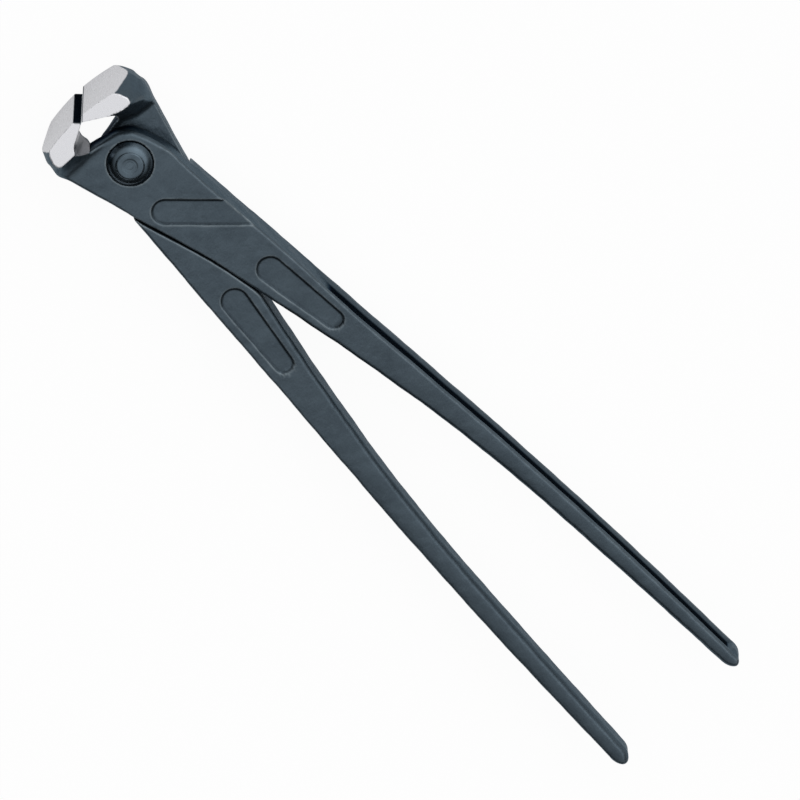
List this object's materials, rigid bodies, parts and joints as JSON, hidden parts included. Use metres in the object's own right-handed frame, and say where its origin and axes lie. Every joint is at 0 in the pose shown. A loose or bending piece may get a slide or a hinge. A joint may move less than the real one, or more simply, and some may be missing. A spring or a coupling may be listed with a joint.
{
  "type": "rebar tying pliers",
  "caption": "End-cutting nippers of forged steel for twisting and cutting tying wire, with crossed levers on a rivet and long bare handles.",
  "frame": {"origin": "under the middle of the tool's bounding box, on the plane of the lower jaw sides", "axes": "+Y along the tool towards the head, +Z along the rivet, +X towards the side of the rear lever's jaw; the tool lies flat with its jaws shut"},
  "size_m": [0.0486, 0.2523, 0.0266],
  "materials": {
    "blued_forging": "satin blue-black forged steel, with bright ground jaw faces",
    "blued_forging_rear": "satin blue-black forged steel, with bright ground jaw faces",
    "blued_rivet": "satin blue-black steel"
  },
  "bodies": {
    "front_lever_body": {"front_lever": "blued_forging", "pivot_rivet": "blued_rivet"},
    "rear_lever_body": {"rear_lever": "blued_forging_rear"}
  },
  "joints": [
    {"name": "lever_pivot", "type": "hinge", "parent": "front_lever_body", "child": "rear_lever_body", "pos_m": [0, 0.1047, 0.0133], "axis": [0, 0, -1], "range_deg": [0, 38]}
  ]
}
